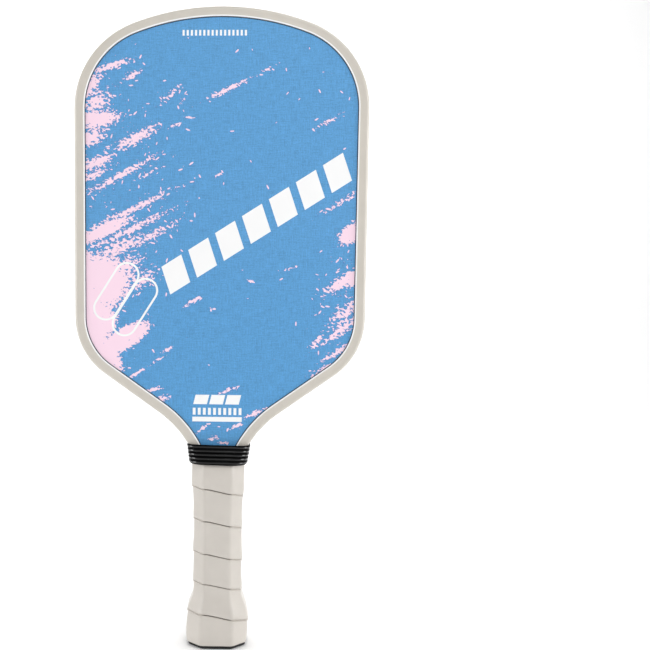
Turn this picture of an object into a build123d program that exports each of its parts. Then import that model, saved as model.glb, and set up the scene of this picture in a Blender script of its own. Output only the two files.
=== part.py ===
from build123d import *
import math
import os

# Pickleball paddle, millimetres.
# Origin at the centre of the butt cap's flat end, +Z up the handle to the top of the blade,
# +X across the blade, and -Y out of the front face.

# Blade outline, over the outside of the edge guard
overall_length = 406.4            # 16 in
overall_width = 188.7             # 7.4 in, at the upper corners
top_radius = 158.0                # crown of the blade
upper_corner_radius = 58.0
lower_corner_radius = 45.0
throat_radius = 68.0              # concave sweep from the shoulder into the neck
side_top_half = 94.77             # half width where the side line meets the crown, before rounding
side_foot = (92.2, 184.5)         # where the side line meets the shoulder line, before rounding
throat_corner = (9.5, 126.6)      # where the shoulder line meets the throat, before rounding
throat_foot = 88.0                # the throat is drawn down to here, inside the handle

# Board: honeycomb core, a scrim and a face sheet on each side
core_thickness = 15.6
scrim_thickness = 0.2
sheet_thickness = 0.5
cell_pitch = 10.0                 # honeycomb cell, across flats
cell_wall = 0.4
core_rim = 0.45                   # closed rim left where the panel is cut to shape
smallest_cell = 8.0               # mm2, smaller offcuts of a cell at the rim stay filled
tongue_width = 23.0               # the board runs down inside the handle as a tongue
tongue_foot = 6.0
tongue_top = 125.0

# Edge guard, a moulded U channel pushed over the rim of the board
guard_wall = 1.3
guard_leg = 6.7                   # how far each leg reaches over the face
guard_leg_thickness = 1.1
guard_end = 120.6                 # both ends stop here, under the collar
guard_outer_round = 1.7
guard_lip_round = 0.45

# Handle: two moulded shells round the tongue, octagonal outside
handle_width = 27.5
handle_depth = 26.5
handle_foot = 2.4
handle_ramp_foot = 108.0          # above this the front and back slope down to the blade
handle_top = 119.0
handle_top_depth = 21.5
shell_side_top = 110.0            # the side walls stop where the blade starts to widen
pocket_width = 17.0               # lightening pockets inside each shell
pocket_height = 9.6
pocket_pitch = 11.4
pocket_count = 8
pocket_foot = 12.0
pocket_skin = 1.9                 # wall left outside each pocket

# Grip tape, wound on as a sleeve. Each row is height and width over the tape.
tape_thickness = 1.8
facet_at_waist = 16.5             # width of the flat front facet on the straight handle
waist_width = 30.8
facet_growth = 0.31               # how much of any extra width goes into the front facet
grip_flare = [(1.6, 36.6), (5.0, 38.0), (10.0, 39.1), (18.0, 38.1), (24.0, 36.2), (28.0, 33.2), (32.0, 31.0)]
grip_neck = [(34.0, waist_width), (86.0, waist_width), (98.0, 32.2), (107.0, 33.6)]
grip_top = (119.0, 33.6, 27.4)    # height, width and depth of the tape's last edge
grip_top_facet = 24.4             # squarer there, over the widening blade
grip_mouth_facet = 22.9           # inside of that edge
grip_shallower = 1.0              # the grip is this much less deep than wide
tape_round = 3.0                  # rounding of the tape over the handle's corners
skirt_top = 32.0                  # the butt cap's flared skirt ends here
skirt_edge = 0.5                  # its thickness at that edge

# Butt cap
rim_height = 1.6                  # the rim stays bare below the tape
rim_width = 36.0
rim_chamfer = 0.4
cap_floor = 2.4
badge_radius = 9.0
badge_thickness = 0.8
badge_recess = 0.3                # how far the badge sits inside the flat end
brad_height = 15.0
brad_radius = 0.6
brad_head_radius = 1.3
brad_head_thickness = 0.5
brad_length = 7.2
brad_point_gap = 0.3              # from the point to the board
brad_pocket = 3.0                 # the skirt is open above each head
staple_height = 7.0
staple_span = 8.0
staple_wire = 0.7
staple_leg = 3.2

# Rubber collar over the tape's last edge and the guard's ends
collar_foot = 114.9
collar_height = 11.3
collar_foot_size = (37.6, 35.2)
collar_top_size = (41.0, 29.0)
collar_foot_facet = 19.5
collar_top_facet = 34.4
collar_wall = 0.8                 # at the bottom of the grooves
rib_count = 5
rib_height = 0.5
rib_pitch = 2.2
rib_width = 1.4
collar_round = 3.0
finish_tape_foot = 115.3
finish_tape_thickness = 0.2

board_half = core_thickness / 2 + scrim_thickness + sheet_thickness
guard_half = board_half + guard_leg_thickness


def slab(sketch, near, far):
    """Extrude a sketch drawn in x and z from y = near to y = far."""
    return extrude(Plane.XZ.offset(-far) * sketch, amount=far - near)


def octagon(width, depth, facet, rounding=0.0):
    """Octagonal section with 45 degree corners and a front facet of the given width."""
    cut = (width - facet) / 2
    section = chamfer(Rectangle(width, depth).vertices(), cut)
    if rounding:
        section = fillet(section.vertices(), rounding)
    return section


def facet_for(width):
    """Front facet of the grip at a given width: it grows a little with the flare."""
    return facet_at_waist + (width - waist_width) * facet_growth


def inner_facet(width, thickness):
    """Facet of an octagon that lies a tape's thickness inside the grip's octagon."""
    return facet_for(width) - 2 * thickness * math.tan(math.radians(22.5))


def stack(sections):
    """Straight-sided solid through (height, sketch) sections."""
    return loft([Pos(0, 0, height) * sketch for height, sketch in sections], ruled=True)


def blade_outline(inset=0.0):
    """Blade and throat in x and z, moved inwards from the outside of the edge guard."""
    crown_centre = overall_length - top_radius
    side_top = (side_top_half, crown_centre + math.sqrt(top_radius**2 - side_top_half**2))
    right = [side_top, side_foot, throat_corner, (throat_corner[0], throat_foot)]
    left = [(-x, z) for x, z in reversed(right)]
    with BuildSketch() as outline:
        with BuildLine():
            ThreePointArc(left[-1], (0, overall_length), right[0])
            Polyline(*right, *left)
        make_face()
        corners = [(side_top, upper_corner_radius), (side_foot, lower_corner_radius)]
        corners.append((throat_corner, throat_radius))
        for (x, z), radius in corners:
            for side in (-1, 1):
                corner = outline.vertices().sort_by_distance((side * x, z))[0]
                fillet(corner, radius)
        if inset:
            offset(amount=-inset, kind=Kind.INTERSECTION)
    return outline.sketch


def above(sketch, height):
    """The part of an x and z sketch that lies above a height."""
    cut_height = overall_length - height
    window = Pos(0, height + cut_height / 2) * Rectangle(2 * overall_width, cut_height)
    return sketch & window


def board_outline(inset=0.0):
    """Blade inside the guard, with the tongue that runs down the handle."""
    blade = above(blade_outline(guard_wall + inset), handle_ramp_foot)
    tongue_height = tongue_top - tongue_foot - inset
    tongue = Rectangle(tongue_width - 2 * inset, tongue_height)
    return blade + Pos(0, tongue_top - tongue_height / 2) * tongue


def honeycomb_openings():
    """Hexagonal cells over the panel, those on its edge cut short by it."""
    area = board_outline(core_rim).face()
    corner_reach = (cell_pitch - cell_wall) / math.sqrt(3)
    middle = board_outline(core_rim + corner_reach).face()
    opening = Rot(0, 0, 30) * RegularPolygon(corner_reach, 6)
    row_pitch = cell_pitch * math.sqrt(3) / 2
    box = area.bounding_box()
    rows = int((box.max.Y - box.min.Y) / row_pitch) + 2
    columns = int(box.max.X / cell_pitch) + 1
    whole, cut = [], []
    for row in range(rows):
        shift = cell_pitch / 2 * (row % 2)
        for column in range(-columns - 1, columns + 1):
            centre = Vector(column * cell_pitch + shift, box.min.Y + row * row_pitch)
            cell = (Pos(centre) * opening).face()
            (whole if middle.is_inside(centre) else cut).append(cell)
    trimmed = [face for part in area.intersect(Compound(cut)) for face in part.faces()]
    return whole + [face for face in trimmed if face.area > smallest_cell]


def core_panel():
    """Polypropylene honeycomb: one panel with every cell open from face to face."""
    panel = board_outline().face()
    openings = [cell.outer_wire() for cell in honeycomb_openings()]
    return slab(Face(panel.outer_wire(), openings), -core_thickness / 2, core_thickness / 2)


def board_layer(near, far, front):
    """A thin layer of the board on its front or back side."""
    low, high = (-far, -near) if front else (near, far)
    return slab(board_outline(), low, high)


def guard_section():
    """U section of the guard: local x runs inwards from its outside, local y through the blade."""
    wall = Pos(guard_leg / 2, 0) * Rectangle(guard_leg, 2 * guard_half)
    channel = Pos(guard_wall + guard_leg / 2, 0) * Rectangle(guard_leg, 2 * board_half)
    section = wall - channel
    outside = [corner for corner in section.vertices() if corner.X < guard_wall / 2]
    section = fillet(outside, guard_outer_round)
    lips = section.vertices().group_by(Axis.X)[-1]
    return fillet(lips, guard_lip_round)


def edge_guard():
    """U channel swept round the rim of the blade, open at the throat."""
    rim = above(blade_outline(), guard_end).face().outer_wire()
    edges = rim.edges().sort_by(Axis.Y)[1:]      # without the straight cut at the throat
    path = Plane.XZ * Wire(edges)
    start, along = path @ 0, path % 0
    middle = Vector(0, 0, overall_length / 2)
    inwards = along.cross(Vector(0, 1, 0))
    if inwards.dot(middle - start) < 0:
        inwards = -inwards
    return sweep(Plane(start, x_dir=inwards, z_dir=along) * guard_section(), path)


def handle_block():
    """Outside of the two shells together."""
    facet = inner_facet(waist_width, tape_thickness)
    straight = octagon(handle_width, handle_depth, facet)
    top = octagon(handle_width, handle_top_depth, facet + handle_depth - handle_top_depth)
    return stack([(handle_foot, straight), (handle_ramp_foot, straight), (handle_top, top)])


def handle_shell(front):
    """One moulded half of the handle, with pockets that keep its wall even."""
    block = handle_block()
    wide = 2 * handle_width
    slot = Box(tongue_width, 2 * board_half, 2 * handle_top)
    throat_height = handle_top - shell_side_top
    throat = Pos(0, 0, shell_side_top + throat_height) * Box(wide, 2 * board_half, 2 * throat_height)
    side = -1 if front else 1
    half = Pos(0, side * handle_depth / 2, 0) * Box(wide, handle_depth, 2 * handle_top)
    pocket_depth = handle_depth / 2 - board_half - pocket_skin
    pocket_y = side * (board_half + pocket_depth / 2)
    pocket = Box(pocket_width, pocket_depth, pocket_height)
    shell = (block & half) - slot - throat
    for number in range(pocket_count):
        shell -= Pos(0, pocket_y, pocket_foot + pocket_height / 2 + number * pocket_pitch) * pocket
    return shell


def skirt_sections():
    """Outside of the butt cap's skirt, a tape's thickness inside the flare of the grip."""
    sections = []
    for height, width in grip_flare[:-1]:
        inside = width - 2 * tape_thickness
        facet = inner_facet(width, tape_thickness)
        sections.append((height, octagon(inside, inside - grip_shallower, facet)))
    edge_width = handle_width + 2 * skirt_edge
    edge_facet = inner_facet(edge_width + 2 * tape_thickness, tape_thickness)
    sections.append((skirt_top, octagon(edge_width, edge_width - grip_shallower, edge_facet)))
    return sections


def brad(front, head_thickness=brad_head_thickness):
    """Small nail through the skirt into a shell."""
    side = -1 if front else 1
    shank_end = board_half + brad_point_gap
    shank = Cylinder(brad_radius, brad_length)
    head = Pos(0, 0, -(brad_length + head_thickness) / 2)
    head *= Cylinder(brad_head_radius, head_thickness)
    turn = Rot(side * 90, 0, 0)
    return Pos(0, side * (shank_end + brad_length / 2), brad_height) * turn * (shank + head)


def staple():
    """Wire staple that holds the tapered start of the tape to the back of the skirt."""
    flare = skirt_sections()[1][1].bounding_box().max.Y
    crown_y = flare - staple_wire / 2
    crown = Pos(0, crown_y, staple_height) * Box(staple_span, staple_wire, staple_wire)
    for side in (-1, 1):
        leg_x = side * (staple_span - staple_wire) / 2
        leg = Box(staple_wire, staple_leg, staple_wire)
        crown += Pos(leg_x, crown_y - staple_leg / 2 + staple_wire / 2, staple_height) * leg
    return crown


def butt_cap():
    """Flared cup over the end of the handle, with a bare rim below the tape."""
    rim = octagon(rim_width, rim_width - grip_shallower, facet_for(rim_width), tape_round)
    rim = extrude(rim, amount=rim_height)
    rim = chamfer(rim.faces().sort_by(Axis.Z)[0].outer_wire().edges(), rim_chamfer)
    cap = rim + stack(skirt_sections())
    cup = octagon(handle_width, handle_depth, inner_facet(waist_width, tape_thickness))
    cap -= Pos(0, 0, cap_floor) * extrude(cup, amount=skirt_top)
    recess = badge_recess + badge_thickness
    cap -= Pos(0, 0, recess / 2) * Cylinder(badge_radius, recess)
    return cap


def badge():
    """Blank disc pressed into the flat end."""
    return Pos(0, 0, badge_recess + badge_thickness / 2) * Cylinder(badge_radius, badge_thickness)


def grip_wrap():
    """Cushioned tape, as a closed sleeve from the rim to under the collar."""
    outside = [(height, octagon(width, width - grip_shallower, facet_for(width), tape_round))
               for height, width in grip_flare + grip_neck]
    top_height, top_width, top_depth = grip_top
    outside.append((top_height, octagon(top_width, top_depth, grip_top_facet, tape_round)))
    straight = octagon(handle_width, handle_depth, inner_facet(waist_width, tape_thickness))
    neck_height, neck_width = grip_neck[-1]
    bore_width = neck_width - 2 * tape_thickness
    bore = octagon(bore_width, handle_depth, inner_facet(neck_width, tape_thickness))
    mouth_width = top_width - 2 * tape_thickness
    mouth = octagon(mouth_width, top_depth - 2 * tape_thickness, grip_mouth_facet)
    neck = [(skirt_top, straight), (grip_neck[1][0], straight), (neck_height, bore)]
    neck.append((top_height, mouth))
    return stack(outside) - stack(skirt_sections()) - stack(neck) - handle_block()


def collar_section(height, grow):
    """Rounded section of the collar at a height, a given amount outside its bore."""
    part = (height - collar_foot) / collar_height
    width, depth = [low + (high - low) * part for low, high in zip(collar_foot_size, collar_top_size)]
    facet = collar_foot_facet + (collar_top_facet - collar_foot_facet) * part
    inwards = 2 * (collar_wall + rib_height - grow)
    return octagon(width - inwards, depth - inwards, facet, collar_round)


def collar_layer(low, high, grow):
    """Stretch of the collar's wall between two heights."""
    return stack([(height, collar_section(height, grow)) for height in (low, high)])


def rubber_collar():
    """Ribbed ring, round at the handle and flatter where it is stretched over the neck."""
    top = collar_foot + collar_height
    ring = collar_layer(collar_foot, top, collar_wall)
    first = collar_foot + (collar_height - (rib_count - 1) * rib_pitch - rib_width) / 2
    for number in range(rib_count):
        low = first + number * rib_pitch
        ring += collar_layer(low, low + rib_width, collar_wall + rib_height)
    return ring - collar_layer(collar_foot, top, 0.0)


def tape_band(low, high, grow):
    """Octagonal layer just outside the grip's last edge."""
    foot_height, foot_width = grip_neck[-1]
    top_height, top_width, top_depth = grip_top
    foot_depth = foot_width - grip_shallower
    foot_facet = facet_for(foot_width)

    def section(height):
        part = (height - foot_height) / (top_height - foot_height)
        width = foot_width + (top_width - foot_width) * part
        depth = foot_depth + (top_depth - foot_depth) * part
        facet = foot_facet + (grip_top_facet - foot_facet) * part
        return octagon(width + 2 * grow, depth + 2 * grow, facet, tape_round)
    return stack([(height, section(height)) for height in (low, high)])


def finishing_tape():
    """Thin tape round the last edge of the grip."""
    band = tape_band(finish_tape_foot, grip_top[0], finish_tape_thickness)
    return band - tape_band(finish_tape_foot, grip_top[0], 0.0)


def write(name, shape):
    """Save one sub-part under its own name."""
    shape.label = name
    export_step(shape, f"parts/{name}.step")
    print(name, "solids", len(shape.solids()), "volume", round(shape.volume))


os.makedirs("parts", exist_ok=True)
brads = [brad(True), brad(False)]
start_staple = staple()
cap = butt_cap()
shells = {"front": handle_shell(True), "back": handle_shell(False)}
for front, nail in zip((True, False), brads):
    cap -= brad(front, brad_pocket)
    shells = {side: shell - nail for side, shell in shells.items()}
cap -= start_staple
scrim_far = core_thickness / 2 + scrim_thickness

write("core_panel", core_panel())
for side, shell in shells.items():
    front = side == "front"
    write(f"core_scrim_{side}", board_layer(core_thickness / 2, scrim_far, front))
    write(f"face_sheet_{side}", board_layer(scrim_far, board_half, front))
    write(f"handle_shell_{side}", shell)
write("edge_guard", edge_guard())
write("butt_cap", cap)
write("butt_cap_brads", Compound(children=brads))
write("butt_badge", badge())
write("grip_start_staple", start_staple)
write("grip_wrap", grip_wrap() - start_staple)
write("finishing_tape", finishing_tape())
write("rubber_collar", rubber_collar())
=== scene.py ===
import math

import bmesh
import bpy
from mathutils import Matrix, Vector, noise


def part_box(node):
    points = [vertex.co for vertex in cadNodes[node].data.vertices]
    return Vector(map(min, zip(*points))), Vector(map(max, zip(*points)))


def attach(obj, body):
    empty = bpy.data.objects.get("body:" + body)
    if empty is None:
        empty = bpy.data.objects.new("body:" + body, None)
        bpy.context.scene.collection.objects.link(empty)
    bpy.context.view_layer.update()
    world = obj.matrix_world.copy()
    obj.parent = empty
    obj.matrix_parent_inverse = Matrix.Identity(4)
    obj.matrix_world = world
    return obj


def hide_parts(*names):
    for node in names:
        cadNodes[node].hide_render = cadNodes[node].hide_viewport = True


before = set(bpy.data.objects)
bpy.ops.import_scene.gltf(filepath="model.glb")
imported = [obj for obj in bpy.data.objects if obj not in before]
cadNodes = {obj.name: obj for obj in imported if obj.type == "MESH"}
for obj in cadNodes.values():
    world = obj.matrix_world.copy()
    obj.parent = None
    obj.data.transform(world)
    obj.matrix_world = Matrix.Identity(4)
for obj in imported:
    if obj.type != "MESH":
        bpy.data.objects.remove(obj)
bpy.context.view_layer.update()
mm = 0.001
print("frame loaded", len(cadNodes), "nodes")


def linearColour(hexText):
    parts = [int(hexText[i:i + 2], 16) / 255 for i in (1, 3, 5)]
    return [c / 12.92 if c <= 0.04045 else ((c + 0.055) / 1.055) ** 2.4 for c in parts] + [1.0]


def addNode(tree, kind, links=None, **settings):
    # settings go on the node, links on its inputs: a number, a colour, a node or a socket
    node = tree.nodes.new(kind)
    for name, value in settings.items():
        setattr(node, name, value)
    for name, value in (links or {}).items():
        socket = node.inputs[name]
        if hasattr(value, "outputs"):
            value = value.outputs[0]
        if isinstance(value, bpy.types.NodeSocket):
            tree.links.new(value, socket)
        else:
            socket.default_value = value
    return node


def newMaterial(name, finish):
    material = bpy.data.materials.new(name)
    material.use_nodes = True
    shader = material.node_tree.nodes["Principled BSDF"]
    for socket, value in finish.items():
        shader.inputs[socket].default_value = value
    return material, material.node_tree, shader


def newPiece(name, bm, material, smooth=35):
    data = bpy.data.meshes.new(name)
    bm.to_mesh(data)
    bm.free()
    piece = bpy.data.objects.new(name, data)
    bpy.context.collection.objects.link(piece)
    data.materials.append(material)
    data.polygons.foreach_set("use_smooth", [True] * len(data.polygons))
    data.set_sharp_from_angle(angle=math.radians(smooth))
    return piece


def smoothStep(value):
    value = min(max(value, 0.0), 1.0)
    return value * value * (3 - 2 * value)


# pink paint strokes, mm: centre x, centre z, half length, half width, angle in degrees, how solid it is
paintStrokes = [
    (-70, 368, 16, 2.6, 18, 1.0), (-57, 362, 7, 2.4, 29, 0.75), (-84, 356, 12, 6, 55, 1.0),
    (-80, 345, 11, 8, 40, 0.8), (-80, 334, 18, 6.5, 6, 1.6), (-84, 322, 13, 7, 20, 1.0),
    (-54, 322, 19, 4.2, 29, 0.9), (-80, 306, 15, 4.5, 26, 0.95), (-64, 298, 30, 2.6, 28, 0.85),
    (-82, 298, 14, 3.5, 25, 0.7), (-57, 276, 36, 2.2, 25, 0.9), (-74, 263, 23, 5.2, 26, 1.7),
    (-58, 263, 34, 2.6, 26, 0.8), (-66, 251, 22, 5.5, 26, 0.85), (-47, 258, 24, 3.2, 27, 0.6),
    (-84, 228, 32, 22, 15, 2.6), (-62, 238, 16, 8, 35, 0.8), (-50, 231, 12, 5, 40, 0.6),
    (-82, 205, 18, 17, 0, 3.0), (-60, 194, 20, 7.5, 32, 3.0), (-77, 183, 22, 13, -52, 3.0),
    (84, 262, 12, 6.5, 35, 2.0), (78, 231, 17, 4.5, 33, 1.1), (86, 234, 11, 5.5, 35, 1.6),
    (80, 212, 15, 5, 45, 0.65), (78, 201, 17, 3.6, 36, 0.8), (62, 193, 8, 2.2, 50, 0.7),
    (76, 187, 15, 2.2, 30, 0.8), (68, 176, 13, 2.6, 28, 0.85), (76, 281, 13, 1.7, 31, 0.6),
    (4, 353, 17, 1.9, 26, 0.9), (30, 366, 6, 1.2, 27, 0.45), (-32, 350, 9, 2.0, 40, 0.45),
    (69, 333, 8, 1.6, 29, 0.7), (-29, 330, 5, 1.1, 16, 0.75), (-17, 218, 7, 1.5, 32, 1.1),
    (-1, 299, 3.5, 1.2, 38, 0.8), (-52, 172, 9, 1.2, 32, 0.9), (-38, 181, 4, 1.1, 32, 0.8),
    (-33, 187, 5, 1.2, 25, 0.9), (-43, 161, 7, 2.0, 15, 0.85), (-36, 156, 6, 2.2, 20, 0.85),
    (7, 162, 7, 1.4, 20, 0.9), (23, 147, 8, 1.7, 24, 0.95), (12, 139, 6, 1.2, 24, 0.9),
    (-10, 137, 6, 1.5, 35, 0.8), (-3, 131, 4, 1.5, 20, 0.8), (4, 128, 5, 1.1, 0, 0.9),
    (-4, 213, 3, 0.9, 0, 0.8), (20, 231, 3, 0.9, -20, 0.8), (44, 239, 5, 0.9, 15, 0.6),
    (-24, 347, 5, 1.1, 60, 0.6), (-20, 335, 4, 1.0, 0, 0.8), (-45, 300, 8, 1.2, 35, 0.6),
]

printedFace = {
    "blueTop": "#5C9FD4", "blueMiddle": "#5D9FD4", "blueFoot": "#569CD2",
    "pink": "#FEDFEF", "white": "#FCFCFC", "inkEdge": "#3E5FB0",
    "brushAngle": 27.0,           # the brush ran up to the right
    "speckSize": 1.5 * mm,        # paint specks, drawn longer along the brush
    "speckStretch": 1.5,
    "flecks": -0.25,              # nearer 0 throws more fine specks
    "flakeSpacing": 3.6 * mm,     # short flakes of paint that lie every way
    "flakeSize": (1.5 * mm, 0.5 * mm),
    "flakeReach": (0.7, 1.5),     # smallest and largest, as a share of that size
    "flakeRagged": (900.0, 0.8),  # rough outline: per metre, and how deep
    "flakeShare": (0.015, 0.5),   # share of cells with a flake, on clear ink and in thick paint
    "fleckZones": ((-78, 290, 62, 100), (84, 215, 30, 62)),   # mm: centre x and z, half width, half height
    "speckBite": 0.32,            # how far the specks eat into a stroke
    "inkRim": (0.565, 0.595),     # where the dark line round the paint starts and is full
    "paintRim": (0.60, 0.61),     # where the pink starts and is full
    "threadPitch": 0.6 * mm,      # glass cloth threads
    "threadLength": 12,           # in thread pitches
    "dust": (1100.0, 1.4),        # fine grain of the ink: per metre, and how strong beside the threads
    "grainTone": (0.8, 1.2),
}


def paintMask(tree, position):
    # how much paint a place got: the strongest of the strokes, falling off to each stroke's edge
    strongest = None
    for x, z, length, width, angle, strength in paintStrokes:
        local = addNode(tree, "ShaderNodeMapping", {
            "Vector": position, "Location": (x * mm, 0, z * mm),
            "Rotation": (0, -math.radians(angle), 0), "Scale": (length * mm, 1, width * mm)},
            vector_type="TEXTURE")
        distance = addNode(tree, "ShaderNodeVectorMath", {0: local}, operation="LENGTH")
        cover = addNode(tree, "ShaderNodeMath", {0: distance.outputs["Value"], 1: -strength, 2: strength},
                        operation="MULTIPLY_ADD")
        if strongest is None:
            strongest = cover
        else:
            strongest = addNode(tree, "ShaderNodeMath", {0: strongest, 1: cover}, operation="MAXIMUM")
    # sparse flecks thrown off the brush, towards both edges of the blade
    for x, z, width, height in printedFace["fleckZones"]:
        local = addNode(tree, "ShaderNodeMapping", {
            "Vector": position, "Location": (x * mm, 0, z * mm), "Scale": (width * mm, 1, height * mm)},
            vector_type="TEXTURE")
        distance = addNode(tree, "ShaderNodeVectorMath", {0: local}, operation="LENGTH")
        flecks = addNode(tree, "ShaderNodeMapRange", {
            "Value": distance.outputs["Value"], "From Min": 0.6, "From Max": 1.1,
            "To Min": printedFace["flecks"], "To Max": -0.55})
        strongest = addNode(tree, "ShaderNodeMath", {0: strongest, 1: flecks}, operation="MAXIMUM")
    return addNode(tree, "ShaderNodeClamp", {"Value": strongest, "Min": -0.55, "Max": 1.0})


def paintFlakes(tree, position, cover):
    # one flake to a cell, turned at random; more cells get one where more paint was thrown
    axes = addNode(tree, "ShaderNodeSeparateXYZ", {0: position})
    flat = addNode(tree, "ShaderNodeCombineXYZ", {"X": axes.outputs["X"], "Y": axes.outputs["Z"]})
    cells = addNode(tree, "ShaderNodeTexVoronoi", {"Vector": flat, "Scale": 1 / printedFace["flakeSpacing"]},
                    voronoi_dimensions="2D")
    chance = addNode(tree, "ShaderNodeSeparateColor", {0: cells.outputs["Color"]})
    offset = addNode(tree, "ShaderNodeVectorMath", {0: flat, 1: cells.outputs["Position"]},
                     operation="SUBTRACT")
    turn = addNode(tree, "ShaderNodeMath", {0: chance.outputs["Red"], 1: math.pi}, operation="MULTIPLY")
    turned = addNode(tree, "ShaderNodeVectorRotate", {"Vector": offset, "Angle": turn},
                     rotation_type="Z_AXIS")
    length, width = printedFace["flakeSize"]
    sized = addNode(tree, "ShaderNodeMapping", {"Vector": turned, "Scale": (1 / length, 1 / width, 1)})
    raggedScale, raggedShare = printedFace["flakeRagged"]
    ragged = addNode(tree, "ShaderNodeTexNoise", {"Vector": position, "Scale": raggedScale, "Detail": 1.0})
    away = addNode(tree, "ShaderNodeVectorMath", {0: sized}, operation="LENGTH").outputs["Value"]
    away = addNode(tree, "ShaderNodeMath", {0: ragged, 1: raggedShare, 2: away}, operation="MULTIPLY_ADD")
    smallest, largest = printedFace["flakeReach"]
    reach = addNode(tree, "ShaderNodeMapRange", {"Value": chance.outputs["Green"],
                                                 "To Min": smallest, "To Max": largest})
    inside = addNode(tree, "ShaderNodeMath", {0: reach, 1: away}, operation="SUBTRACT")
    few, many = printedFace["flakeShare"]
    share = addNode(tree, "ShaderNodeMapRange", {"Value": cover, "From Min": -0.5, "From Max": 0.1,
                                                 "To Min": few, "To Max": many})
    thrown = addNode(tree, "ShaderNodeMath", {0: chance.outputs["Blue"], 1: share}, operation="LESS_THAN")
    # a flake's own paint runs from clear ink outside its dark line to solid paint
    depth = addNode(tree, "ShaderNodeMapRange", {
        "Value": inside, "From Min": -0.3, "From Max": 0.0,
        "To Min": printedFace["inkRim"][0] - 0.005, "To Max": printedFace["paintRim"][1] + 0.005})
    return addNode(tree, "ShaderNodeMath", {0: depth, 1: thrown}, operation="MULTIPLY")


def barRow(tree, position, centre, size, angle, lean=0.0, count=1, share=1.0):
    # a row of leaning bars, in mm: 1 inside a bar and 0 outside
    local = addNode(tree, "ShaderNodeMapping", {
        "Vector": position, "Location": (centre[0] * mm, 0, centre[1] * mm),
        "Rotation": (0, -math.radians(angle), 0), "Scale": (size[0] * mm, 1, size[1] * mm)},
        vector_type="TEXTURE")
    axes = addNode(tree, "ShaderNodeSeparateXYZ", {0: local})
    leaned = addNode(tree, "ShaderNodeMath", {0: axes.outputs["Z"], 1: -lean * size[1] / size[0],
                                              2: axes.outputs["X"]}, operation="MULTIPLY_ADD")
    across = addNode(tree, "ShaderNodeMath", {0: leaned, 1: 0.0, 2: 0.5}, operation="COMPARE")
    upright = addNode(tree, "ShaderNodeMath", {0: axes.outputs["Z"], 1: 0.0, 2: 0.5}, operation="COMPARE")
    inside = addNode(tree, "ShaderNodeMath", {0: across, 1: upright}, operation="MULTIPLY")
    if count == 1:
        return inside
    along = addNode(tree, "ShaderNodeMath", {0: leaned, 1: 0.5}, operation="ADD")
    # the last gap falls outside the row, so that it ends on a bar
    spread = addNode(tree, "ShaderNodeMath", {0: along, 1: count - 1 + share}, operation="MULTIPLY")
    place = addNode(tree, "ShaderNodeMath", {0: spread}, operation="FRACT")
    bar = addNode(tree, "ShaderNodeMath", {0: place, 1: share}, operation="LESS_THAN")
    return addNode(tree, "ShaderNodeMath", {0: inside, 1: bar}, operation="MULTIPLY")


def loopLine(tree, position, centre, size, angle, line):
    # outline of a rounded loop, in mm: a flat oval ring of even thickness
    local = addNode(tree, "ShaderNodeMapping", {
        "Vector": position, "Location": (centre[0] * mm, 0, centre[1] * mm),
        "Rotation": (0, -math.radians(angle), 0), "Scale": (mm, mm, mm)}, vector_type="TEXTURE")
    straight = (size[0] - size[1]) / 2
    axes = addNode(tree, "ShaderNodeSeparateXYZ", {0: local})
    held = addNode(tree, "ShaderNodeClamp", {"Value": axes.outputs["X"], "Min": -straight, "Max": straight})
    rest = addNode(tree, "ShaderNodeMath", {0: axes.outputs["X"], 1: held}, operation="SUBTRACT")
    corner = addNode(tree, "ShaderNodeCombineXYZ", {"X": rest, "Z": axes.outputs["Z"]})
    radius = addNode(tree, "ShaderNodeVectorMath", {0: corner}, operation="LENGTH")
    return addNode(tree, "ShaderNodeMath", {0: radius.outputs["Value"], 1: size[1] / 2, 2: line / 2},
                   operation="COMPARE")


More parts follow.
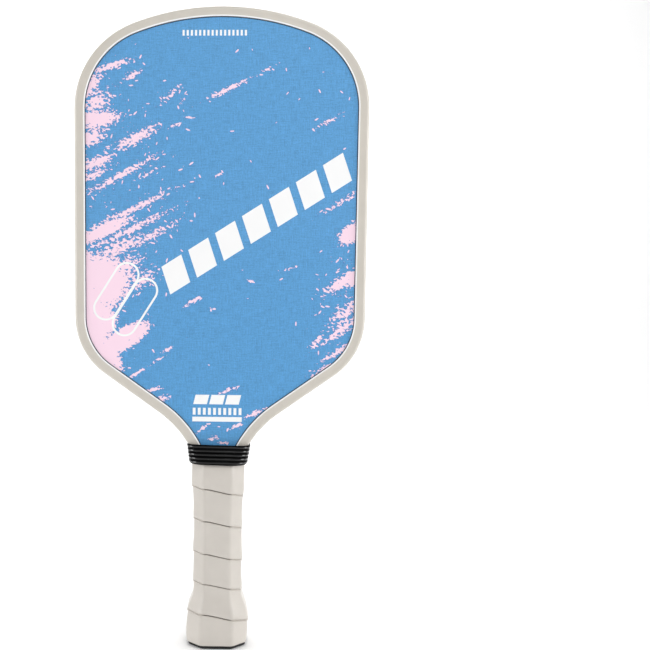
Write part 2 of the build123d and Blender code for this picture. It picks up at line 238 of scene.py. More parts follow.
def makePrintedFace(name, mirrored):
    # printed fibreglass sheet: flat inks under a thin clear satin coat, with the cloth's grain showing
    material, tree, shader = newMaterial(name, {"Roughness": 0.4, "IOR": 1.5})
    colours = printedFace
    coordinates = addNode(tree, "ShaderNodeTexCoord")
    side = -1 if mirrored else 1
    position = addNode(tree, "ShaderNodeMapping", {
        "Vector": coordinates.outputs["Object"], "Scale": (side, 0, 1)})

    # blue ink, a shade lighter towards the top
    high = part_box("face_sheet_front")[1]
    height = addNode(tree, "ShaderNodeSeparateXYZ", {0: position}).outputs["Z"]
    part = addNode(tree, "ShaderNodeMapRange", {"Value": height, "From Min": 0.115, "From Max": high.z})
    blue = addNode(tree, "ShaderNodeValToRGB", {"Fac": part})
    blue.color_ramp.elements[0].color = linearColour(colours["blueFoot"])
    blue.color_ramp.elements[1].color = linearColour(colours["blueTop"])
    blue.color_ramp.elements.new(0.55).color = linearColour(colours["blueMiddle"])

    # grain of the glass cloth, level and upright threads
    threads = []
    for squeeze in ((1 / colours["threadLength"], 1, 1), (1, 1, 1 / colours["threadLength"])):
        run = addNode(tree, "ShaderNodeMapping", {"Vector": position, "Scale": squeeze})
        threads.append(addNode(tree, "ShaderNodeTexNoise", {
            "Vector": run, "Scale": 1 / colours["threadPitch"], "Detail": 1.0, "Roughness": 0.5}))
    grain = addNode(tree, "ShaderNodeMath", {0: threads[0], 1: threads[1]}, operation="ADD")
    dustScale, dustShare = colours["dust"]
    dust = addNode(tree, "ShaderNodeTexNoise", {"Vector": position, "Scale": dustScale, "Detail": 2.0})
    grain = addNode(tree, "ShaderNodeMath", {0: dust, 1: dustShare, 2: grain}, operation="MULTIPLY_ADD")
    darker, lighter = colours["grainTone"]
    tone = addNode(tree, "ShaderNodeMapRange", {
        "Value": grain, "From Min": 1.2, "From Max": 2.2, "To Min": darker, "To Max": lighter})
    grained = addNode(tree, "ShaderNodeMix", {"Factor": 1.0, 6: blue, 7: tone.outputs[0]},
                      data_type="RGBA", blend_type="MULTIPLY")

    # pink paint, broken into specks where the brush ran dry
    cover = paintMask(tree, position)
    speckled = addNode(tree, "ShaderNodeMapping", {
        "Vector": position, "Rotation": (0, math.radians(colours["brushAngle"]), 0),
        "Scale": (1 / colours["speckStretch"], 1, 1)})
    speck = addNode(tree, "ShaderNodeTexNoise", {
        "Vector": speckled, "Scale": 1 / colours["speckSize"], "Detail": 2.5, "Roughness": 0.55,
        "Distortion": 0.4})
    paint = addNode(tree, "ShaderNodeMath", {0: cover, 1: colours["speckBite"], 2: speck},
                    operation="MULTIPLY_ADD")
    flakes = paintFlakes(tree, position, cover)
    paint = addNode(tree, "ShaderNodeMath", {0: paint, 1: flakes}, operation="MAXIMUM")
    pinkMask = addNode(tree, "ShaderNodeMapRange", {
        "Value": paint, "From Min": colours["paintRim"][0], "From Max": colours["paintRim"][1]})
    edgeMask = addNode(tree, "ShaderNodeMapRange", {
        "Value": paint, "From Min": colours["inkRim"][0], "From Max": colours["inkRim"][1]})
    edged = addNode(tree, "ShaderNodeMix", {0: edgeMask, 6: grained.outputs[2],
                                            7: linearColour(colours["inkEdge"])}, data_type="RGBA")
    pinked = addNode(tree, "ShaderNodeMix", {0: pinkMask, 6: edged.outputs[2],
                                             7: linearColour(colours["pink"])}, data_type="RGBA")

    # plain white marks: a slanted row of bars, two loops, and ticks at the top and the foot
    marks = [
        barRow(tree, position, (23, 267.5), (136, 18), 32.5, lean=0.25, count=7, share=0.74),
        loopLine(tree, position, (-66, 224), (40, 15), 58, 1.3),
        loopLine(tree, position, (-54, 214), (40, 15), 58, 1.3),
        barRow(tree, position, (-4.5, 389), (41, 3.6), 0.0, count=16, share=0.5),
        barRow(tree, position, (-1, 155.5), (29, 6), 0.0, lean=0.25, count=3, share=0.86),
        barRow(tree, position, (-1, 148), (31, 4.4), 0.0, count=10, share=0.55),
        barRow(tree, position, (-1, 143), (31.5, 3), 0.0),
    ]
    white = marks[0]
    for mark in marks[1:]:
        white = addNode(tree, "ShaderNodeMath", {0: white, 1: mark}, operation="MAXIMUM")
    printed = addNode(tree, "ShaderNodeMix", {0: white, 6: pinked.outputs[2],
                                              7: linearColour(colours["white"])}, data_type="RGBA")
    tree.links.new(printed.outputs[2], shader.inputs["Base Color"])
    bump = addNode(tree, "ShaderNodeBump", {"Height": grain, "Strength": 0.12, "Distance": 0.1 * mm})
    tree.links.new(bump.outputs[0], shader.inputs["Normal"])
    return material


def finishNode(node, material):
    cadNodes[node].data.materials.clear()
    cadNodes[node].data.materials.append(material)


finishNode("face_sheet_front", makePrintedFace("printed fibreglass front", False))
finishNode("face_sheet_back", makePrintedFace("printed fibreglass back", True))
print("faces printed")


# right half of the rim over the outside of the guard: its corners before rounding, and their radii
rim = {
    "crown": 158 * mm,
    "sideTop": 94.77 * mm,         # half width where the side meets the crown
    "sideFoot": Vector((92.2, 0, 184.5)) * mm,   # where the side meets the shoulder
    "throatFoot": Vector((9.5, 0, 126.6)) * mm,  # where the shoulder meets the throat
    "upperCorner": 58 * mm, "lowerCorner": 45 * mm, "throat": 68 * mm,
}
guard = {
    "wall": 1.3 * mm, "leg": 6.7 * mm, "lip": 0.5 * mm, "corner": 2.0 * mm, "crown": 0.25 * mm,
    "dip": 0.12 * mm,
    "colour": "#D0CAC0",
    "trimmed": "#FFFFFF",          # the lip, painted white as a painted highlight along its rounded edge
    "shadowBead": (0.55 * mm, 0.12 * mm, "#2F3F52"),   # a low bead along the lip, coloured dark as painted shadow of the lip on the face: width, height, colour
}


def makeGuardPlastic():
    # moulded TPU, satin: an even body colour with a faint orange peel from the mould, a painted highlight on
    # the lip and a painted shadow line on the bead beside it
    material, tree, shader = newMaterial("moulded TPU", {
        "Roughness": 0.38, "IOR": 1.5, "Coat Weight": 0.5, "Coat Roughness": 0.14})
    coordinates = addNode(tree, "ShaderNodeTexCoord").outputs["Object"]
    cloud = addNode(tree, "ShaderNodeTexNoise", {"Vector": coordinates, "Scale": 60.0, "Detail": 3.0})
    tone = addNode(tree, "ShaderNodeMapRange", {"Value": cloud, "From Min": 0.3, "From Max": 0.7,
                                                "To Min": 0.96, "To Max": 1.03})
    body = addNode(tree, "ShaderNodeMix", {"Factor": 1.0, 6: linearColour(guard["colour"]),
                                           7: tone.outputs[0]}, data_type="RGBA", blend_type="MULTIPLY")
    place = addNode(tree, "ShaderNodeAttribute", attribute_name="lip").outputs["Fac"]
    # painted highlight on the lip where the attribute is 1, painted shadow on the bead where it is -1
    trimmed = addNode(tree, "ShaderNodeMapRange", {"Value": place, "From Min": 0.5, "From Max": 1.0})
    paintedShadow = addNode(tree, "ShaderNodeMapRange", {"Value": place, "From Min": 0.0, "From Max": -0.5})
    pale = addNode(tree, "ShaderNodeMix", {0: trimmed, 6: body.outputs[2],
                                           7: linearColour(guard["trimmed"])}, data_type="RGBA")
    shaded = addNode(tree, "ShaderNodeMix", {0: paintedShadow, 6: pale.outputs[2],
                                             7: linearColour(guard["shadowBead"][2])}, data_type="RGBA")
    tree.links.new(shaded.outputs[2], shader.inputs["Base Color"])
    peel = addNode(tree, "ShaderNodeTexNoise", {"Vector": coordinates, "Scale": 1500.0, "Detail": 1.0})
    bump = addNode(tree, "ShaderNodeBump", {"Height": peel, "Strength": 0.08, "Distance": 0.05 * mm})
    tree.links.new(bump.outputs[0], shader.inputs["Normal"])
    return material


def rimSteps():
    # the rim as a walk from the middle of the crown to the guard's end, turns in radians.
    # A corner takes its radius times the tangent of half its turn off the run on each side of it.
    low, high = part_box("edge_guard")
    crown, upper, lower, throat = (rim[name] for name in ("crown", "upperCorner", "lowerCorner", "throat"))
    crownCentre = Vector((0, 0, high.z - crown))
    sideTop = crownCentre + Vector((rim["sideTop"], 0, math.sqrt(crown ** 2 - rim["sideTop"] ** 2)))
    side, shoulder = rim["sideFoot"] - sideTop, rim["throatFoot"] - rim["sideFoot"]
    sideHeading, shoulderHeading = (math.atan2(-run.z, run.x) for run in (side, shoulder))
    # the upper corner's centre is its own radius inside both the side and the crown
    along = side.normalized()
    start = sideTop - crownCentre + Vector((along.z, 0, -along.x)) * upper
    reach = start.dot(along)
    sideCut = -reach - math.sqrt(reach ** 2 - start.length_squared + (crown - upper) ** 2)
    upperCentre = start + along * sideCut
    crownTurn = math.atan2(upperCentre.x, upperCentre.z)
    lowerTurn, throatTurn = shoulderHeading - sideHeading, shoulderHeading - math.pi / 2
    lowerCut, throatCut = lower * math.tan(lowerTurn / 2), throat * math.tan(throatTurn / 2)
    # the guard stops above the height where the throat would stand upright
    unturned = math.asin((low.z - (rim["throatFoot"].z - throatCut)) / throat)
    return [("bend", crown, crownTurn), ("bend", upper, sideHeading - crownTurn),
            ("run", side.length - sideCut - lowerCut), ("bend", lower, lowerTurn),
            ("run", shoulder.length - lowerCut - throatCut), ("bend", throat, unturned - throatTurn)]


def walk(bm, edges, here, step):
    # one step of the rim: ("run", length) or ("bend", radius, turn), and the heading carries on
    place, heading = here
    along = Vector((math.cos(heading), 0, math.sin(heading)))
    if step[0] == "run":
        made = bmesh.ops.extrude_edge_only(bm, edges=edges)["geom"]
        bmesh.ops.translate(bm, verts=[g for g in made if isinstance(g, bmesh.types.BMVert)],
                            vec=along * step[1])
        return [g for g in made if isinstance(g, bmesh.types.BMEdge)], (place + along * step[1], heading)
    radius, turn = step[1:]
    # a positive turn bends to the right of the heading, clockwise from the front
    side = 1 if turn > 0 else -1
    centre = place + Vector((math.sin(heading), 0, -math.cos(heading))) * radius * side
    count = max(6, round(abs(turn) * radius / (2.5 * mm)))
    made = bmesh.ops.spin(bm, geom=edges, cent=centre, axis=(0, 1, 0), angle=turn, steps=count,
                          use_merge=False)["geom_last"]
    spun = Matrix.Rotation(turn, 3, "Y")
    return ([g for g in made if isinstance(g, bmesh.types.BMEdge)],
            (centre + spun @ (place - centre), heading - turn))


def guardSection():
    # U section at the middle of the crown, as a loop of points (depth y, distance inwards from the outside)
    low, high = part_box("edge_guard")
    half = (high.y - low.y) / 2
    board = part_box("face_sheet_back")[1].y
    wall, leg, lip, corner = guard["wall"], guard["leg"], guard["lip"], guard["corner"]
    side = []
    for step in range(7):
        turn = math.radians(90 - 90 * step / 6)
        side.append((half - corner + corner * math.cos(turn), corner - corner * math.sin(turn)))
    for step in range(1, 4):
        # the leg's face dips a little between its corner and its lip
        part = step / 4
        side.append((half - guard["dip"] * math.sin(math.pi * part), corner + (leg - lip - corner) * part))
    for step in range(5):
        turn = math.radians(90 * step / 4)
        side.append((half - lip + lip * math.cos(turn), leg - lip + lip * math.sin(turn)))
    # the bead: a low flange on the board past the lip, coloured dark as painted shadow of the lip
    beadWidth, beadHeight = guard["shadowBead"][:2]
    side += [(board + beadHeight * 1.5, leg), (board + beadHeight, leg + 0.02 * mm),
             (board + beadHeight, leg + beadWidth), (board, leg + beadWidth), (board, wall)]
    crown = [(part * (half - corner), -guard["crown"] * (1 - part * part)) for part in (0.0, 0.45, 0.8)]
    front = [(-y, z) for y, z in side]
    return crown + side + front[::-1] + [(-y, z) for y, z in crown[:0:-1]]


def makeEdgeGuard(material):
    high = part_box("edge_guard")[1]
    bm = bmesh.new()
    layer = bm.verts.layers.float.new("lip")
    loop = []
    for y, inward in guardSection():
        loop.append(bm.verts.new((0, y, high.z - inward - guard["crown"])))
        # 0 on the body, 1 on the lip with its painted highlight, -1 on the bead coloured as painted shadow
        if inward > guard["leg"]:
            loop[-1][layer] = -1.0
        elif inward > guard["leg"] - guard["lip"] * 1.01:
            loop[-1][layer] = 1.0
    edges = [bm.edges.new((loop[i - 1], loop[i])) for i in range(len(loop))]
    here = (Vector((0, 0, high.z)), 0.0)
    for step in rimSteps():
        edges, here = walk(bm, edges, here, step)
    bmesh.ops.contextual_create(bm, geom=edges)
    bmesh.ops.mirror(bm, geom=bm.verts[:] + bm.edges[:] + bm.faces[:], axis="X", merge_dist=0.01 * mm)
    bmesh.ops.remove_doubles(bm, verts=bm.verts, dist=0.005 * mm)
    bmesh.ops.recalc_face_normals(bm, faces=bm.faces)
    piece = newPiece("edge_guard_channel", bm, material)
    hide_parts("edge_guard")
    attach(piece, "root")


makeEdgeGuard(makeGuardPlastic())
print("edge guard swept")


grip = {
    # the seam colour is painted shade, laid into the tape inside each seam groove
    "colour": "#CFC9C1", "seamShade": "#7A7168", "foot": 2.1 * mm, "top": 119.0 * mm,
    "bare": (27.5 * mm, 26.5 * mm, 15.0 * mm),   # handle's width, depth and front facet
    "cornerRadius": 2.0 * mm,
    "waist": 30.8,                 # width over the tape on the straight handle, mm
    "ripple": 0.12,                # waviness of the seams, mm
    "uneven": 0.007,               # unevenness of the padding, as a share of the width
    "fitFrom": 8.0,                # above this height in the section a turn follows the next one's edge, mm
    "flattened": (110.0, 9.0, 0.17),   # the neck gets flatter: from this height, over, by this share
    "closed": (6.5, 1.5, 0.75),    # the seam closes beside the front flat: from this x, over, by this much
    "turnHeight": 19.5,            # height of a turn in the section below
    # lower edge of each turn at the middle of the front, mm, from below the butt upwards
    "turns": [-20.5, -1.5, 20.4, 38.4, 57.3, 78.0, 98.4, 119.4, 139.5, 159.5],
    "droop": (5.0, 0.12),          # left of this many mm the turns climb less, by this much per mm
    # width over the tape: height and width in mm
    "widths": [(-30, 36.0), (0, 36.0), (2, 36.6), (5, 38.0), (9.5, 39.0), (14, 38.7), (19, 37.8), (24, 36.2),
               (27.5, 33.6), (31, 31.2), (34, 30.5), (60, 30.8), (80, 30.6), (90, 31.5), (98, 32.4),
               (107, 33.5), (119, 33.8), (170, 33.8)],
}

# section of the tape, mm: height above its lower edge, and distance out from the handle.
# Near the next turn's edge it dives under it, which leaves the narrow seam groove; the tape's colour adds
# painted shade there.
tapeSection = [
    (0.0, 0.90), (0.02, 1.60), (0.15, 1.90), (0.5, 2.06), (1.3, 2.12), (3.2, 2.04), (5.5, 1.86), (9.0, 1.68),
    (14.0, 1.60), (17.0, 1.62), (18.3, 1.60), (18.8, 1.42), (19.05, 1.0), (19.2, 0.72), (21.5, 0.62),
    (25.0, 0.45), (25.0, 0.05), (15.0, 0.02), (6.0, 0.5), (3.0, 0.68), (0.6, 0.74),
]


def makeGripLeather():
    # polyurethane cushion tape: a soft skin between matt and satin, with fine pores
    material, tree, shader = newMaterial("polyurethane grip tape", {
        "Roughness": 0.35, "IOR": 1.48, "Sheen Weight": 0.1, "Sheen Roughness": 0.5})
    coordinates = addNode(tree, "ShaderNodeTexCoord").outputs["Object"]
    cloud = addNode(tree, "ShaderNodeTexNoise", {"Vector": coordinates, "Scale": 90.0, "Detail": 4.0})
    tone = addNode(tree, "ShaderNodeMapRange", {"Value": cloud, "From Min": 0.3, "From Max": 0.7,
                                                "To Min": 0.965, "To Max": 1.02})
    body = addNode(tree, "ShaderNodeMix", {"Factor": 1.0, 6: linearColour(grip["colour"]),
                                           7: tone.outputs[0]}, data_type="RGBA", blend_type="MULTIPLY")
    # painted shade: the tape's colour is darkened inside each seam groove and along each turn's lower edge
    height = addNode(tree, "ShaderNodeAttribute", attribute_name="turnHeight").outputs["Fac"]
    seamShade = addNode(tree, "ShaderNodeMapRange", {"Value": height, "From Min": 18.85, "From Max": 19.15})
    edge = addNode(tree, "ShaderNodeMapRange", {"Value": height, "From Min": 0.1, "From Max": 0.0})
    line = addNode(tree, "ShaderNodeMath", {0: seamShade, 1: edge}, operation="MAXIMUM")
    # the painted seam shade is full on the broad flats and fades over the corners, where the seam closes
    across = addNode(tree, "ShaderNodeSeparateXYZ", {0: coordinates}).outputs["X"]
    aside = addNode(tree, "ShaderNodeMath", {0: across}, operation="ABSOLUTE")
    gape = addNode(tree, "ShaderNodeMapRange", {"Value": aside, "From Min": 0.0075, "From Max": 0.0095,
                                                "To Min": 1.0, "To Max": 0.05})
    dark = addNode(tree, "ShaderNodeMath", {0: line, 1: gape}, operation="MULTIPLY")
    shaded = addNode(tree, "ShaderNodeMix", {0: dark, 6: body.outputs[2], 7: linearColour(grip["seamShade"])},
                     data_type="RGBA")
    tree.links.new(shaded.outputs[2], shader.inputs["Base Color"])
    pores = addNode(tree, "ShaderNodeTexVoronoi", {"Vector": coordinates, "Scale": 1600.0})
    softer = addNode(tree, "ShaderNodeTexNoise", {"Vector": coordinates, "Scale": 250.0, "Detail": 3.0})
    skin = addNode(tree, "ShaderNodeMath", {0: pores.outputs["Distance"], 1: 0.25, 2: softer},
                   operation="MULTIPLY_ADD")
    bump = addNode(tree, "ShaderNodeBump", {"Height": skin, "Strength": 0.12, "Distance": 0.15 * mm})
    tree.links.new(bump.outputs[0], shader.inputs["Normal"])
    return material


def curveThrough(points, place):
    # smooth curve through (place, value) points
    number = max(i for i in range(len(points) - 1) if points[i][0] <= place or i == 0)
    ends = [points[min(max(number + i, 0), len(points) - 1)] for i in (-1, 0, 1, 2)]
    (x0, y0), (x1, y1), (x2, y2), (x3, y3) = ends
    part = (place - x1) / (x2 - x1)
    rise1 = (y2 - y0) / (x2 - x0) * (x2 - x1)
    rise2 = (y3 - y1) / (x3 - x1) * (x2 - x1)
    bend = (2 * part ** 3 - 3 * part ** 2 + 1) * y1 + (part ** 3 - 2 * part ** 2 + part) * rise1
    return bend + (3 * part ** 2 - 2 * part ** 3) * y2 + (part ** 3 - part ** 2) * rise2


def windTape():
    # the tape walks round the handle, flat by flat, and climbs one pitch in each turn
    bm = bmesh.new()
    width, depth, facet = grip["bare"]
    cut = (width - facet) / 2
    radius = grip["cornerRadius"]
    eighth = math.radians(45)
    trim = 2 * radius * math.tan(eighth / 2)
    runs = {"front": facet - trim, "side": depth - 2 * cut - trim, "slope": cut * math.sqrt(2) - trim}
    order = ["slope", "side", "slope", "front", "slope", "side", "slope"]
    bend = radius * eighth
    runSteps, bendSteps = 4, 6
    layer = bm.verts.layers.float.new("turnHeight")
    loop = []
    for up, out in tapeSection:
        loop.append(bm.verts.new((0, -depth / 2 - out * mm, (grip["turns"][0] + up) * mm)))
        loop[-1][layer] = up
    edges = [bm.edges.new((loop[i - 1], loop[i])) for i in range(len(loop))]
    heading = math.pi              # along the front towards -X, clockwise from above
    place = Vector((0, -depth / 2, 0))
    girth = sum(runs[name] for name in order) + runs["front"] + 8 * bend
    # each turn starts and ends at the middle of the front
    lengths = [runs["front"] / 2] + [runs[name] for name in order] + [runs["front"] / 2]
    for turn in range(len(grip["turns"]) - 2):
        climb = (grip["turns"][turn + 1] - grip["turns"][turn]) * mm / girth
        for number, length in enumerate(lengths):
            along = Vector((math.cos(heading), math.sin(heading), 0))
            for _ in range(runSteps):
                made = bmesh.ops.extrude_edge_only(bm, edges=edges)["geom"]
                move = along * length / runSteps
                bmesh.ops.translate(bm, verts=[g for g in made if isinstance(g, bmesh.types.BMVert)],
                                    vec=move + Vector((0, 0, climb * length / runSteps)))
                edges = [g for g in made if isinstance(g, bmesh.types.BMEdge)]
            place = place + along * length
            if number > len(order):
                break
            centre = place + Vector((math.sin(heading), -math.cos(heading), 0)) * radius
            made = bmesh.ops.spin(bm, geom=edges, cent=centre, axis=(0, 0, 1), angle=-eighth,
                                  steps=bendSteps, dvec=(0, 0, climb * bend / bendSteps),
                                  use_merge=False)["geom_last"]
            edges = [g for g in made if isinstance(g, bmesh.types.BMEdge)]
            place = centre + Matrix.Rotation(-eighth, 3, "Z") @ (place - centre)
            heading -= eighth
    bmesh.ops.recalc_face_normals(bm, faces=bm.faces)
    return bm


def shapeTape(bm):
    # fit each turn to the next one's edge, then the handle's flare and a little unevenness of the padding
    layer = bm.verts.layers.float["turnHeight"]
    edges = list(enumerate(grip["turns"]))
    for vert in bm.verts:
        up = vert[layer]
        edge = vert.co.z / mm - up
        turn = max(number for number, height in edges[:-2] if height <= edge + 0.01 or number == 0)
        part = (edge - grip["turns"][turn]) / (grip["turns"][turn + 1] - grip["turns"][turn])
        above = grip["turns"][turn + 1] + part * (grip["turns"][turn + 2] - grip["turns"][turn + 1])
        fit = min(max((up - grip["fitFrom"]) / (grip["turnHeight"] - grip["fitFrom"]), 0), 1)
        own, following = [grip["ripple"] * noise.noise(Vector((vert.co.x * 90, vert.co.y * 90, z * 0.4)))
                          for z in (edge, above)]
        height = edge + up + fit * (above - edge - grip["turnHeight"]) + own * (1 - fit) + following * fit
        start, droop = grip["droop"]
        height -= droop * max(0.0, -vert.co.x / mm - start)
        stretch = curveThrough(grip["widths"], height) / grip["waist"]
        flatFrom, flatOver, flatShare = grip["flattened"]
        flatten = 1 - flatShare * smoothStep((height - flatFrom) / flatOver)
        uneven = 1 + grip["uneven"] * noise.noise(vert.co * 70.0)
        if grip["turnHeight"] - 1 < up < grip["turnHeight"] + 0.5:
            # pulled tight over the corners, the tape closes the seam there
            closeFrom, closeOver, closeBy = grip["closed"]
            closed = smoothStep((abs(vert.co.x) / mm - closeFrom) / closeOver)
            stretch *= 1 + closeBy * closed * mm / vert.co.xy.length
        vert.co = (vert.co.x * stretch * uneven, vert.co.y * stretch * flatten * uneven, height * mm)


def makeGrip(material):
    bm = windTape()
    shapeTape(bm)
    for height, clearUp in ((grip["foot"], False), (grip["top"], True)):
        cut = bmesh.ops.bisect_plane(bm, geom=bm.verts[:] + bm.edges[:] + bm.faces[:],
                                     plane_co=(0, 0, height), plane_no=(0, 0, 1),
                                     clear_inner=not clearUp, clear_outer=clearUp)
        rim = [g for g in cut["geom_cut"] if isinstance(g, bmesh.types.BMEdge)]
        bmesh.ops.holes_fill(bm, edges=rim, sides=0)
    bmesh.ops.recalc_face_normals(bm, faces=bm.faces)
    piece = newPiece("grip_tape", bm, material, smooth=50)
    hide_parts("grip_wrap")
    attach(piece, "root")


makeGrip(makeGripLeather())
print("grip wound")


collar = {
    "colour": "#030303", "ribs": 5, "ribHeight": 0.75 * mm, "ribPitch": 2.4 * mm, "wall": 0.7 * mm,
    "stretch": 1.0 * mm,           # the top edge rides up the guard's ends
    "footSize": (37.4 * mm, 35.2 * mm), "topSize": (41.0 * mm, 29.0 * mm),
    "footSquareness": 3.6, "topSquareness": 5.0, "tilt": 1.0,
    "segments": 144, "levels": 60, "roundedLevels": 3, "rounding": 0.35 * mm,
}


def makeRubber():
    # moulded rubber: near black, dull in the grooves, each rib's crest rubbed to a soft bright line
    material, tree, shader = newMaterial("moulded rubber", {
        "Base Color": linearColour(collar["colour"]), "Roughness": 0.4, "IOR": 1.52,
        "Specular IOR Level": 0.06, "Coat IOR": 1.8, "Coat Roughness": 0.12})
    coordinates = addNode(tree, "ShaderNodeTexCoord").outputs["Object"]
    smear = addNode(tree, "ShaderNodeTexNoise", {"Vector": coordinates, "Scale": 220.0, "Detail": 3.0})
    crest = addNode(tree, "ShaderNodeAttribute", attribute_name="crest").outputs["Fac"]
    rubbed = addNode(tree, "ShaderNodeMapRange", {"Value": crest, "From Min": 0.91, "From Max": 0.995,
                                                  "To Min": 0.0, "To Max": 1.0})
    tree.links.new(rubbed.outputs[0], shader.inputs["Coat Weight"])
    gloss = addNode(tree, "ShaderNodeMapRange", {"Value": smear, "From Min": 0.35, "From Max": 0.65,
                                                 "To Min": 0.3, "To Max": 0.5})
    tree.links.new(gloss.outputs[0], shader.inputs["Roughness"])
    bump = addNode(tree, "ShaderNodeBump", {"Height": smear, "Strength": 0.05, "Distance": 0.1 * mm})
    tree.links.new(bump.outputs[0], shader.inputs["Normal"])
    tree.links.new(bump.outputs[0], shader.inputs["Coat Normal"])
    return material


def makeCollar(material):
    low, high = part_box("rubber_collar")
    height = high.z - low.z + collar["stretch"]
    bm = bmesh.new()
    layer = bm.verts.layers.float.new("crest")   # 1 along the top of a rib, 0 in a groove
    bmesh.ops.create_circle(bm, cap_ends=False, radius=1.0, segments=collar["segments"])
    edges = bm.edges[:]
    levels = collar["levels"]
    first = (height - (collar["ribs"] - 1) * collar["ribPitch"]) / 2
    rings = [bm.verts[:]]
    for _ in range(levels):
        made = bmesh.ops.extrude_edge_only(bm, edges=edges)["geom"]
        rings.append([g for g in made if isinstance(g, bmesh.types.BMVert)])
        edges = [g for g in made if isinstance(g, bmesh.types.BMEdge)]
    for level, ring in enumerate(rings):
        part = level / levels
        up = part * height
        rib = abs(((up - first) / collar["ribPitch"] + 0.5) % 1.0 - 0.5) * 2   # 0 on a rib, 1 in a groove
        swell = collar["ribHeight"] * math.sqrt(max(0.0, 1 - rib ** 2))
        crest = swell / collar["ribHeight"]
        ease = min(part, 1 - part) * levels
        if ease < collar["roundedLevels"]:
            swell -= collar["rounding"] * (1 - ease / collar["roundedLevels"]) ** 2
        for vert in ring:
            turn = math.atan2(vert.co.y, vert.co.x)
            squareness = (collar["topSquareness"] - collar["footSquareness"]) * part
            power = 2 / (collar["footSquareness"] + squareness)
            sizes = [a + (b - a) * part for a, b in zip(collar["footSize"], collar["topSize"])]
            base = [size / 2 - collar["ribHeight"] for size in sizes]
            c, s = math.cos(turn), math.sin(turn)
            x = math.copysign(abs(c) ** power, c) * (base[0] + swell)
            y = math.copysign(abs(s) ** power, s) * (base[1] + swell)
            vert.co = (x, y, low.z + up)
            vert[layer] = crest
    bmesh.ops.rotate(bm, verts=bm.verts, cent=(0, 0, low.z + height / 2),
                     matrix=Matrix.Rotation(math.radians(collar["tilt"]), 3, "Y"))
    bmesh.ops.recalc_face_normals(bm, faces=bm.faces)
    bmesh.ops.solidify(bm, geom=bm.faces[:], thickness=collar["wall"])
    bmesh.ops.recalc_face_normals(bm, faces=bm.faces)
    piece = newPiece("ribbed_collar", bm, material, smooth=60)
    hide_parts("rubber_collar")
    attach(piece, "root")


makeCollar(makeRubber())
print("collar stretched on")


plainFinishes = {
    # name of the finish: colour, roughness, metallic, grain scale per metre, bump strength, nodes
    # moulded parts have an even satin skin from the mould; nylon is the blacker, ABS the greyer
    "moulded nylon": ("#060607", 0.42, 0.0, 1800.0, 0.1, ["butt_cap"]),
    # smooth and glossy, with next to no grain
    "polished acrylic disc": ("#1B1C1F", 0.15, 0.0, 700.0, 0.03, ["butt_badge"]),
    # bright drawn metal with fine draw marks
    "zinc plated wire": ("#B9BBBE", 0.3, 1.0, 2500.0, 0.1, ["butt_cap_brads", "grip_start_staple"]),
    # dull black film
    "vinyl tape": ("#17181A", 0.5, 0.0, 1200.0, 0.1, ["finishing_tape"]),
    "moulded ABS": ("#2D2E31", 0.45, 0.0, 1600.0, 0.12, ["handle_shell_front", "handle_shell_back"]),
    # milky and waxy; the scrim on it is a matt white felt of fine fibres
    "extruded polypropylene": ("#DDDDD8", 0.5, 0.0, 500.0, 0.15, ["core_panel"]),
    "non-woven polyester": ("#E8E8E2", 0.9, 0.0, 2200.0, 0.4, ["core_scrim_front", "core_scrim_back"]),
}


def makePlainFinish(name, colour, roughness, metallic, scale, strength):
    material, tree, shader = newMaterial(name, {"Roughness": roughness, "Metallic": metallic})
    coordinates = addNode(tree, "ShaderNodeTexCoord").outputs["Object"]
    cloud = addNode(tree, "ShaderNodeTexNoise", {"Vector": coordinates, "Scale": scale / 12, "Detail": 4.0})
    tone = addNode(tree, "ShaderNodeMapRange", {"Value": cloud, "From Min": 0.3, "From Max": 0.7,
                                                "To Min": 0.9, "To Max": 1.08})
    body = addNode(tree, "ShaderNodeMix", {"Factor": 1.0, 6: linearColour(colour), 7: tone.outputs[0]},
                   data_type="RGBA", blend_type="MULTIPLY")
    tree.links.new(body.outputs[2], shader.inputs["Base Color"])
    grain = addNode(tree, "ShaderNodeTexNoise", {"Vector": coordinates, "Scale": scale, "Detail": 2.0})
    bump = addNode(tree, "ShaderNodeBump", {"Height": grain, "Strength": strength, "Distance": 0.1 * mm})
    tree.links.new(bump.outputs[0], shader.inputs["Normal"])
    return material


for finishName, (colour, roughness, metallic, scale, strength, nodes) in plainFinishes.items():
    finish = makePlainFinish(finishName, colour, roughness, metallic, scale, strength)
    for node in nodes:
        finishNode(node, finish)
print("remaining parts finished")


studio = {
    "floor": "#FAFAFA", "floorSize": 6.0, "backdropDistance": 1.6, "sweep": 0.5, "wallHeight": 2.5,
    "world": 0.38, "aim": (0, 0, 0.2),
    # two softboxes well to the sides, so that the flats of the grip read; power, width, height
    "sideDistance": 1.6, "sideAngle": 70.0, "sideHeight": 0.5,
    "key": (12.6, 0.9, 0.9), "fill": (11.2, 0.9, 0.9),
    "front": (3.8, 0.9, 0.3), "frontPlace": (0.4, -0.95, 1.25),
    "backdrop": (24.0, 1.4, 1.4), "backdropPlace": (0, 0.7, 1.4),
}

view = {
    "distance": 0.560,     # from the paddle's middle plane
    "height": 0.203,
    "yaw": 1.75,           # a little from the right
    "roll": -0.48,
    "lens": 48.0,
    "shift": 0.1619,
}


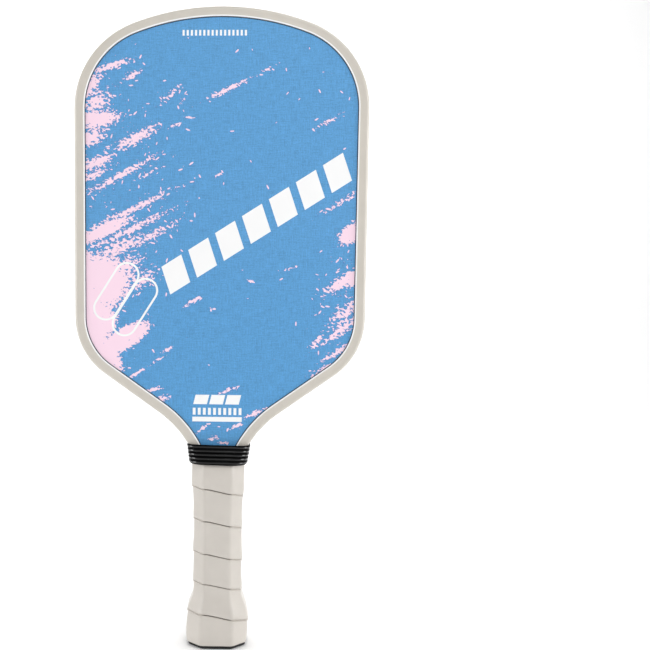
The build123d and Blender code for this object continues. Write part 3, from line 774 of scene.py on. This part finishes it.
def makeFloor():
    bm = bmesh.new()
    half = studio["floorSize"] / 2
    bmesh.ops.create_grid(bm, x_segments=1, y_segments=1, size=half)
    back = [e for e in bm.edges if all(v.co.y > half * 0.9 for v in e.verts)]
    bmesh.ops.translate(bm, verts=bm.verts, vec=(0, studio["backdropDistance"] - half, 0))
    # the floor curves up into the backdrop
    made = bmesh.ops.spin(bm, geom=back, cent=(0, studio["backdropDistance"], studio["sweep"]),
                          axis=(1, 0, 0), angle=math.radians(90), steps=16, use_merge=False)["geom_last"]
    wall = [g for g in made if isinstance(g, bmesh.types.BMEdge)]
    top = bmesh.ops.extrude_edge_only(bm, edges=wall)["geom"]
    bmesh.ops.translate(bm, verts=[g for g in top if isinstance(g, bmesh.types.BMVert)],
                        vec=(0, 0, studio["wallHeight"]))
    bmesh.ops.recalc_face_normals(bm, faces=bm.faces)
    # matt paper: a plain pale sweep with no pattern
    material = newMaterial("studio paper", {
        "Base Color": linearColour(studio["floor"]), "Roughness": 0.9})[0]
    floor = newPiece("studio_floor", bm, material, smooth=60)


def addSoftbox(name, place, target, power, width, height):
    lamp = bpy.data.lights.new(name, "AREA")
    lamp.energy = power
    lamp.shape = "RECTANGLE"
    lamp.size = width
    lamp.size_y = height
    light = bpy.data.objects.new(name, lamp)
    bpy.context.collection.objects.link(light)
    light.location = place
    light.rotation_euler = (Vector(target) - Vector(place)).to_track_quat("-Z", "Y").to_euler()


makeFloor()
aside = studio["sideDistance"] * math.sin(math.radians(studio["sideAngle"]))
forward = studio["sideDistance"] * math.cos(math.radians(studio["sideAngle"]))
addSoftbox("key softbox", (aside, -forward, studio["sideHeight"]), studio["aim"], *studio["key"])
addSoftbox("fill softbox", (-aside, -forward, studio["sideHeight"]), studio["aim"], *studio["fill"])
addSoftbox("front softbox", studio["frontPlace"], studio["aim"], *studio["front"])
addSoftbox("backdrop softbox", studio["backdropPlace"], (0, studio["backdropDistance"], 0.4),
           *studio["backdrop"])
world = bpy.data.worlds.new("studio")
bpy.context.scene.world = world
world.use_nodes = True
world.node_tree.nodes["Background"].inputs["Color"].default_value = (1, 1, 1, 1)
world.node_tree.nodes["Background"].inputs["Strength"].default_value = studio["world"]
bpy.context.scene.view_settings.view_transform = "Standard"

cameraData = bpy.data.cameras.new("camera")
cameraData.lens = view["lens"]
cameraData.sensor_width = 36.0
cameraData.shift_x = view["shift"]
cameraData.clip_end = 20.0
camera = bpy.data.objects.new("camera", cameraData)
bpy.context.collection.objects.link(camera)
yaw = math.radians(view["yaw"])
camera.location = (view["distance"] * math.sin(yaw), -view["distance"] * math.cos(yaw), view["height"])
camera.rotation_euler = (math.radians(90), math.radians(view["roll"]), yaw)
bpy.context.scene.camera = camera
print("studio ready")
